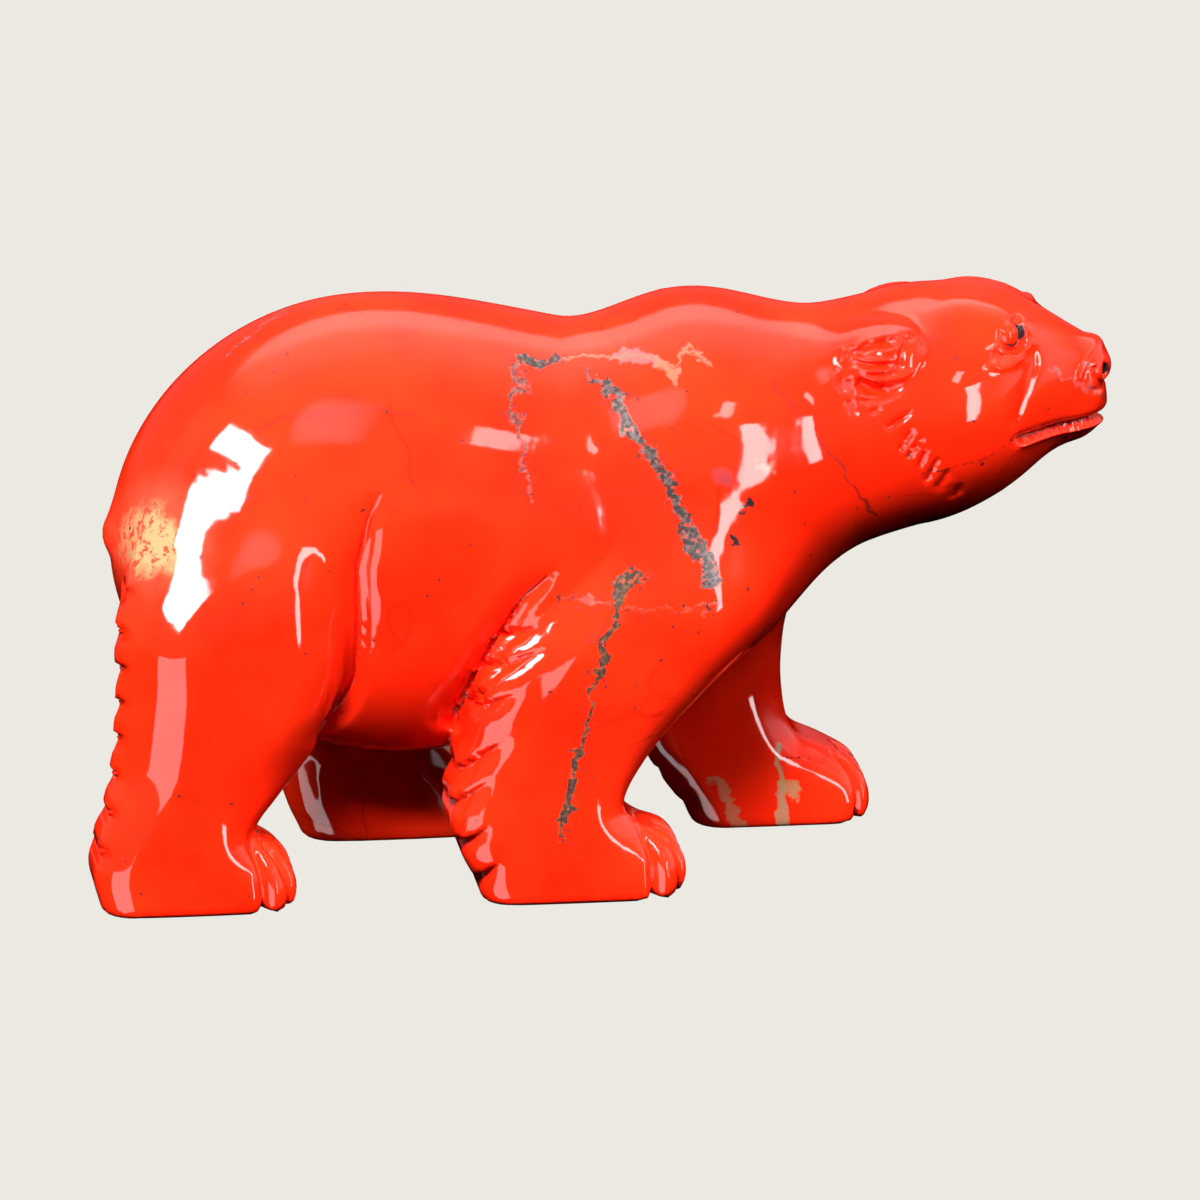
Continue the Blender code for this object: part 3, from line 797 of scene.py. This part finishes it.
# Each vein: where it passes, and half its width there.
SHOULDER_VEIN = (
    (-2.0, 57.3, 0.15), (1.9, 54.1, 0.65), (4.4, 49.5, 0.75), (7.9, 45.0, 0.70),
    (10.6, 39.4, 0.75), (13.0, 34.2, 1.15), (13.8, 31.6, 0.90),
)
SADDLE_VEIN = ((-9.2, 58.1, 0.5), (-6.8, 58.4, 1.0), (-4.4, 59.3, 0.25))
SADDLE_THREAD = (
    (-4.4, 59.3, 0.18), (-1.6, 59.4, 0.16), (1.1, 58.4, 0.25), (2.6, 58.3, 0.22),
    (9.9, 56.6, 0.15), (10.4, 57.6, 0.22), (11.4, 58.2, 0.22), (13.3, 56.5, 0.22),
)
LILAC_SMEAR = ((1.6, 58.9, 0.5), (4.6, 57.8, 0.9), (7.0, 57.1, 0.7))
TAN_SMEAR = ((7.0, 57.2, 0.5), (9.6, 55.3, 0.75))
SADDLE_DROP = (
    (-9.2, 57.9, 0.35), (-9.0, 56.3, 0.45), (-7.7, 54.3, 0.55), (-9.2, 53.2, 0.32),
    (-8.7, 49.3, 0.30), (-7.8, 47.1, 0.22), (-7.5, 43.4, 0.14), (-6.6, 40.7, 0.14),
)
ARM_VEIN = (
    (5.6, 31.9, 0.8), (3.4, 31.2, 1.05), (2.9, 28.0, 0.45), (1.6, 25.0, 0.65), (0.1, 19.4, 0.28),
    (-0.1, 16.6, 0.30), (-1.5, 13.1, 0.24), (-2.1, 8.4, 0.65), (-3.0, 4.4, 0.60), (-3.8, 1.2, 0.20),
)
ARM_BRANCH = ((-3.7, 29.8, 0.10), (2.6, 28.8, 0.20), (6.9, 28.2, 0.12), (14.1, 28.5, 0.25))
NECK_CRACK = ((21.0, 54.6), (26.6, 48.1), (29.5, 44.3), (33.0, 38.8))
HAUNCH_LINE = ((-41.1, 48.1), (-36.9, 49.9), (-32.5, 51.0), (-24.1, 51.4), (-19.6, 50.7))
HAUNCH_SMUDGE = ((-40.2, 57.9, 0.35), (-35.9, 59.9, 0.30))
THIGH_LINE = ((-32.3, 37.0), (-33.4, 32.0), (-35.3, 27.8))
SNOUT_LINE = ((53.3, 57.3, 0.12), (56.5, 55.8, 0.18), (59.8, 54.9, 0.22), (62.0, 54.0, 0.1))
SNOUT_DOTS = ((54.7, 57.1, 0.4), (58.0, 57.9, 0.45))
PAW_BAND = ((20.4, 12.0, 0.5), (21.6, 9.0, 0.55), (21.9, 6.4, 0.8), (21.2, 3.2, 1.6))
PAW_BAND_STEP = ((21.8, 8.2, 0.9), (24.6, 7.6, 0.9))
HEEL_BAND = ((11.6, 8.0, 0.5), (14.6, 4.0, 0.7), (18.0, 2.4, 0.5))
FAR_BANDS = (PAW_BAND, PAW_BAND_STEP, HEEL_BAND)

# The cracks: where each passes, half its width and its strength.
CRACKS = ((NECK_CRACK, 0.17, 0.85), (HAUNCH_LINE, 0.20, 0.6), (THIGH_LINE, 0.18, 0.65))

# Oval patches: where each lies, half its width and height, its strength and its colour.
PATCHES = (
    (15.4, 43.7, 1.3, 1.1, 0.85, PLUM),
    (20.6, 45.1, 1.1, 0.7, 0.8, TAN),
    (-24.0, 64.6, 3.2, 0.5, 0.7, CREAM),
)
CREAM_PATCH = (-51.8, 36.2, 3.9, 3.5)
PINK_HALO = (-51.0, 37.0, 6.4, 6.0)
PITS = ((18.0, 40.2, 0.55, 0.8), (16.7, 36.2, 0.5, 0.6))

# How far the plane of the drawn veins lies to the bear's right of its middle.
NEAR_SIDE = 15.0

# The mesh is centred between its ends, which moves it this far forward, in millimetres.
CENTRING = 0.95

# The head's own directions in the block, and the spots on it where shade is painted black,
# with the distances from them where the painted shade ends or starts.
FACE_PIVOT = (HEAD_PIVOT[0] + CENTRING, HEAD_PIVOT[1], HEAD_PIVOT[2])
FACE_AHEAD = (math.cos(math.radians(HEAD_YAW)), math.sin(math.radians(HEAD_YAW)), 0.0)
FACE_ASIDE = (-math.sin(math.radians(HEAD_YAW)), math.cos(math.radians(HEAD_YAW)), 0.0)
# Painted shade: black within these distances of each eye socket's corner, outside the eyeball, and
# of each nostril.
PAINTED_EYE_SHADE = (15.1, 7.4, 9.3)
PAINTED_EYE_SHADE_OUT = 1.60
EYEBALL = (14.65, 7.4, 9.4)
EYEBALL_OUT = 1.42
NOSTRIL_SHADE_OUT = 0.75


class Block:
    """The jasper's own coordinates, and the marks in it as distances and shares."""

    def __init__(self, tree):
        self.tree = tree
        metres = tree.node("ShaderNodeTexCoord", output=3)
        self.place = tree.vector("MULTIPLY", metres, (1000.0, 1000.0, 1000.0))
        across = tree.vector("DOT_PRODUCT", self.place, ACROSS)
        up = tree.vector("DOT_PRODUCT", self.place, UP)
        self.depth = tree.vector("DOT_PRODUCT", self.place, (0.0, 1.0, 0.0)) + NEAR_SIDE
        flat = tree.node("ShaderNodeCombineXYZ", None, {"X": across, "Y": up, "Z": 0.0})
        wander = tree.scaled(self.drift(0.045, 1.0, 0.0), self.depth.most(0.0) * 0.45)
        flat = tree.vector("ADD", flat, wander)
        ragged = self.drift(0.42, 2.1, 3.0)
        self.ragged = tree.vector("ADD", flat, ragged)
        self.smooth = tree.vector("ADD", flat, tree.scaled(ragged, 0.45))
        from_pivot = tree.vector("SUBTRACT", self.place, FACE_PIVOT)
        ahead = tree.vector("DOT_PRODUCT", from_pivot, FACE_AHEAD)
        aside = tree.vector("DOT_PRODUCT", from_pivot, FACE_ASIDE)
        above = tree.vector("DOT_PRODUCT", from_pivot, (0.0, 0.0, 1.0))
        aside = aside.most(aside * -1.0)
        self.face = tree.node("ShaderNodeCombineXYZ", None, {"X": ahead, "Y": aside, "Z": above})

    def drift(self, scale, reach, detail):
        """A noise of offsets, in millimetres each way."""
        noise = self.tree.noise(self.place, scale, detail, 0.62, output=1)
        centred = self.tree.vector("SUBTRACT", noise, (0.5, 0.5, 0.5))
        return self.tree.vector("MULTIPLY", centred, (2.0 * reach, 2.0 * reach, 0.0))

    def beyond(self, path, place):
        """How far a place lies outside a vein: below 0 in it."""
        nearest = None
        for (ax, ay, first), (bx, by, last) in zip(path, path[1:]):
            ex, ey = bx - ax, by - ay
            length2 = ex * ex + ey * ey
            from_start = self.tree.vector("SUBTRACT", place, (ax, ay, 0.0))
            share = self.tree.vector("DOT_PRODUCT", from_start, (ex / length2, ey / length2, 0.0))
            share = share.most(0.0).least(1.0)
            along = self.tree.scaled((ex, ey, 0.0), share)
            gap = self.tree.vector("DISTANCE", from_start, along) - (share * (last - first) + first)
            nearest = gap if nearest is None else nearest.least(gap)
        return nearest

    def thread(self, path, half_width):
        return self.beyond([(*point, half_width) for point in path], self.smooth)

    def from_face(self, spot):
        """The distance to a spot on the head and its twin on the other side."""
        return self.tree.vector("DISTANCE", self.face, spot)

    def blot(self, x, y, wide, high):
        """How far a place lies outside an oval patch: 0 at its edge and -1 in its middle."""
        offset = self.tree.vector("SUBTRACT", self.ragged, (x, y, 0.0))
        offset = self.tree.vector("MULTIPLY", offset, (1.0 / wide, 1.0 / high, 0.0))
        return self.tree.vector("LENGTH", offset) - 1.0


def jasper():
    material = bpy.data.materials.new("polished red jasper")
    material.use_nodes = True
    tree = Tree(material.node_tree)
    stone = Block(tree)

    def inside(gap, edge=0.25):
        return gap.step(edge, -edge)

    cloud = tree.noise(stone.place, 0.055, 3.0, 0.6)
    body = tree.mixed(cloud.step(0.42, 0.62), RED, ORANGE_RED)
    body = tree.mixed(cloud.step(0.42, 0.30) * 0.55, body, DEEP_RED)
    grain = tree.noise(stone.place, 1.9, 2.0, 0.55)
    crumbs = tree.noise(stone.place, 0.95, 3.0, 0.7)

    # Faint healed cracks, in patches.
    bent = tree.vector("ADD", stone.place, tree.scaled(stone.drift(0.09, 1.0, 1.0), 5.0))
    cells = {"feature": "DISTANCE_TO_EDGE"}
    web = tree.node("ShaderNodeTexVoronoi", cells, {"Vector": bent, "Scale": 0.048})
    fine_web = tree.node("ShaderNodeTexVoronoi", cells, {"Vector": bent, "Scale": 0.10})
    patchy = tree.noise(stone.place, 0.07, 2.0)
    cracked = web.step(0.009, 0.003) * patchy.step(0.47, 0.60) * 0.55
    body = tree.mixed(cracked, body, DEEP_RED)
    broken = grain.step(0.42, 0.60)
    hairlines = fine_web.step(0.016, 0.004) * patchy.step(0.56, 0.66) * broken
    body = tree.mixed(hairlines, body, DARK_LINE)

    # The veins' filling: charcoal and ash grains, browner low on the front leg.
    filling = tree.mixed(grain.step(0.40, 0.62), CHARCOAL, ASH)
    brown = tree.mixed(grain.step(0.36, 0.64), CHARCOAL, OLIVE_BROWN)
    red_left = crumbs.step(0.66, 0.58)
    veins = (
        (SHOULDER_VEIN, filling, 1.0),
        (SADDLE_VEIN, filling, 1.0),
        (SADDLE_DROP, filling, 0.9),
        (HAUNCH_SMUDGE, filling, 0.8),
        (ARM_VEIN, brown, 1.0),
        (ARM_BRANCH, brown, 0.7),
    )
    near = None
    for path, fill, strength in veins:
        gap = stone.beyond(path, stone.ragged)
        near = gap if near is None else near.least(gap)
        body = tree.mixed(inside(gap, 0.16) * red_left * strength, body, fill)
    smears = (
        (LILAC_SMEAR, LILAC_GREY, 0.75),
        (TAN_SMEAR, TAN, 0.85),
        (SADDLE_THREAD, TAN, 0.85),
        (SNOUT_LINE, ASH, 0.7),
        (PAW_BAND, BEIGE, 0.95),
        (PAW_BAND_STEP, CREAM, 0.9),
        (HEEL_BAND, BEIGE, 0.6),
    )
    for path, colour, strength in smears:
        gap = stone.beyond(path, stone.ragged)
        shown = inside(gap) * strength
        if path in FAR_BANDS:
            shown = shown * stone.depth.step(18.0, 22.0)
        body = tree.mixed(shown, body, colour)
    for path, width, strength in CRACKS:
        body = tree.mixed(inside(stone.thread(path, width), 0.12) * strength, body, DARK_LINE)
    for x, y, size in SNOUT_DOTS:
        body = tree.mixed(inside(stone.blot(x, y, size, size), 0.5) * 0.8, body, ASH)

    # The cream patch at the rump, speckled with red.
    patch = stone.blot(*CREAM_PATCH)
    halo = stone.blot(*PINK_HALO)
    body = tree.mixed(inside(halo, 0.45) * 0.45, body, PINK)
    body = tree.mixed(inside(patch, 0.35) * crumbs.step(0.60, 0.50) * 0.92, body, CREAM)
    for x, y, wide, high, strength, colour in PATCHES:
        body = tree.mixed(inside(stone.blot(x, y, wide, high), 0.5) * strength, body, colour)

    # Black specks, thicker near the veins.
    specks = {"feature": "F1"}
    sizes = {"Vector": bent, "Scale": 0.50, "Randomness": 1.0}
    dot = tree.node("ShaderNodeTexVoronoi", specks, sizes)
    which = tree.node("ShaderNodeTexVoronoi", specks, sizes, output=1)
    pick = tree.node("ShaderNodeSeparateColor", None, {"Color": which})
    size = pick.step(0.42, 1.0) * 0.15
    flecks = (size - dot).step(0.0, 0.03)
    body = tree.mixed(flecks * 0.85, body, BLACK)
    dust = tree.noise(stone.place, 1.4, 2.0, 0.6)
    body = tree.mixed(dust.step(0.61, 0.65) * near.step(2.0, 0.2) * 0.9, body, CHARCOAL)

    # Two small pits in the chest.
    upper, lower = (inside(stone.blot(*pit), 0.35) for pit in PITS)
    body = tree.mixed(upper.most(lower), body, BLACK)

    # Painted shade: black in the deep corners of the eye sockets round each eyeball, and in the
    # nostrils.
    corner = inside(stone.from_face(PAINTED_EYE_SHADE) - PAINTED_EYE_SHADE_OUT, 0.12)
    beside_ball = inside(EYEBALL_OUT - stone.from_face(EYEBALL), 0.12)
    nostril = inside(stone.from_face(NOSTRIL) - NOSTRIL_SHADE_OUT, 0.2)
    body = tree.mixed((corner * beside_ball).most(nostril), body, BLACK)

    # The veins take a duller polish than the red stone.
    dull = {"Value": near, 1: -0.2, 2: 0.2, 3: 0.28, 4: 0.06}
    rough = tree.node("ShaderNodeMapRange", None, dull)
    swirl = tree.noise(stone.place, 0.5, 1.0)
    waves = {"Strength": 0.10, "Distance": 0.0002, "Height": swirl}
    sunk = tree.node("ShaderNodeBump", None, waves)
    shader = tree.node(
        "ShaderNodeBsdfPrincipled",
        None,
        {"Base Color": body, "Roughness": rough, "IOR": 1.54, "Normal": sunk},
    )
    tree.node("ShaderNodeOutputMaterial", None, {"Surface": shader})
    return material


bear = bpy.data.objects.new("polished_bear", bear_mesh())
bpy.context.scene.collection.objects.link(bear)
bear.data.materials.append(jasper())
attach(bear, "root")
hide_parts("bear")


# The floor, the light and the camera.

PALE = (0.840, 0.815, 0.761)

# The softboxes that the stone mirrors: where each stands round the bear and above the floor,
# half its width and height as seen from the bear, its roll, all in degrees, and its brightness.
SOFTBOXES = {
    "window": (-57.0, 32.5, 15.5, 5.2, -16.0, 26.0),
    "left reflector": (-41.0, -18.7, 26.0, 18.0, 0.0, 3.5),
    "right strip": (30.9, 8.0, 3.8, 17.0, 3.0, 12.0),
    "small lamp": (22.6, 36.5, 2.6, 4.6, -32.0, 7.5),
}
SOFTBOX_AWAY = 4.0

# The lamps that light the stone's body: where each stands, and its power.
BODY_LAMPS = {
    "key": (-20.0, 45.0, 27.0),
    "right fill": (60.0, 35.0, 6.0),
    "left fill": (-95.0, 30.0, 6.0),
    "back fill": (165.0, 45.0, 4.5),
}
BODY_LAMP_AWAY = 0.9
BODY_LAMP_WIDE = 0.3

# How bright the stone mirrors the ceiling behind it and ahead, the cloth, the wall and the rest.
CEILING = 1.0
CEILING_AHEAD = 0.16
CLOTH_BEHIND = 1.35
RIGHT_WALL = 0.9
ROOM = 0.15


def floor():
    bpy.ops.mesh.primitive_circle_add(vertices=96, radius=40.0, fill_type="NGON")
    ground = bpy.context.object
    ground.name = "floor"
    material = bpy.data.materials.new("pale floor")
    material.use_nodes = True
    tree = Tree(material.node_tree)
    glow = tree.node("ShaderNodeEmission", None, {"Color": (*PALE, 1.0), "Strength": 1.0})
    tree.node("ShaderNodeOutputMaterial", None, {"Surface": glow})
    ground.data.materials.append(material)
    ground.visible_diffuse = False
    ground.visible_glossy = False
    ground.visible_shadow = False


def toward(azimuth, elevation):
    """The direction at this angle round the bear, from the right side, and above the floor."""
    a, e = math.radians(azimuth), math.radians(elevation)
    return Vector((math.sin(a) * math.cos(e), -math.cos(a) * math.cos(e), math.sin(e)))


MIDDLE = Vector((0.0, 0.0, 0.035))


def studio():
    """The walls and the ceiling that the stone mirrors, and the pale backdrop."""
    world = bpy.data.worlds.new("studio")
    world.use_nodes = True
    tree = Tree(world.node_tree)
    way = tree.node("ShaderNodeTexCoord", output=0)
    height = tree.vector("DOT_PRODUCT", way, (0.0, 0.0, 1.0))
    behind = tree.vector("DOT_PRODUCT", way, (0.0, 1.0, 0.0))
    right = tree.vector("DOT_PRODUCT", way, (1.0, 0.0, 0.0))
    ceiling = behind.step(-0.45, 0.30) * CEILING + CEILING_AHEAD
    light = height.step(0.66, 0.95) * ceiling + height.step(-0.10, 0.10) * ROOM
    light = light + behind.step(0.20, 0.45) * height.step(0.71, 0.77) * CLOTH_BEHIND
    light = light + right.step(0.60, 0.85) * height.step(0.02, 0.14) * RIGHT_WALL
    walls = {"Color": (1.0, 0.97, 0.95, 1.0), "Strength": light}
    room = tree.node("ShaderNodeBackground", None, walls)
    backdrop = tree.node("ShaderNodeBackground", None, {"Color": (*PALE, 1.0), "Strength": 1.0})
    seen = tree.node("ShaderNodeLightPath", output=0)
    shown = tree.node("ShaderNodeMixShader", None, {0: seen, 1: room, 2: backdrop})
    tree.node("ShaderNodeOutputWorld", None, {"Surface": shown})
    bpy.context.scene.world = world
    world.cycles_visibility.diffuse = False


def lamp(name, azimuth, elevation, away, width, height, power, roll=0.0):
    """An area lamp that faces the bear; the camera sees none of them."""
    light = bpy.data.lights.new(name, "AREA")
    light.shape = "RECTANGLE"
    light.size, light.size_y = width, height
    light.energy = power
    holder = bpy.data.objects.new(name, light)
    back = toward(azimuth, elevation)
    facing = (-back).to_track_quat("-Z", "Y")
    holder.location = MIDDLE + back * away
    holder.rotation_euler = (facing @ Quaternion((0.0, 0.0, 1.0), math.radians(roll))).to_euler()
    holder.visible_camera = False
    bpy.context.scene.collection.objects.link(holder)
    return holder


def lamps():
    for name, (azimuth, elevation, wide, high, roll, glow) in SOFTBOXES.items():
        width = 2.0 * SOFTBOX_AWAY * math.tan(math.radians(wide))
        height = 2.0 * SOFTBOX_AWAY * math.tan(math.radians(high))
        power = glow * math.pi * width * height
        box = lamp(name, azimuth, elevation, SOFTBOX_AWAY, width, height, power, roll)
        box.visible_diffuse = False
    for name, (azimuth, elevation, power) in BODY_LAMPS.items():
        wide = BODY_LAMP_WIDE
        body = lamp(name, azimuth, elevation, BODY_LAMP_AWAY, wide, wide, power)
        body.visible_glossy = False


# Where the camera stands round the bear and above the floor, in degrees, how far away it is,
# how wide its picture is there and the point that it looks at, in metres.
CAMERA_FROM = (-7.0, 16.0)
CAMERA_AWAY = 2.0
PICTURE_WIDE = 0.1412
LOOKED_AT = Vector((0.00095, 0.0, 0.0306))


def camera():
    lens = bpy.data.cameras.new("camera")
    lens.lens = lens.sensor_width * CAMERA_AWAY / PICTURE_WIDE
    lens.clip_end = 100.0
    seer = bpy.data.objects.new("camera", lens)
    back = toward(*CAMERA_FROM)
    seer.location = LOOKED_AT + back * CAMERA_AWAY
    seer.rotation_euler = (-back).to_track_quat("-Z", "Y").to_euler()
    bpy.context.scene.collection.objects.link(seer)
    bpy.context.scene.camera = seer


floor()
studio()
lamps()
camera()
bpy.context.scene.view_settings.view_transform = "Standard"
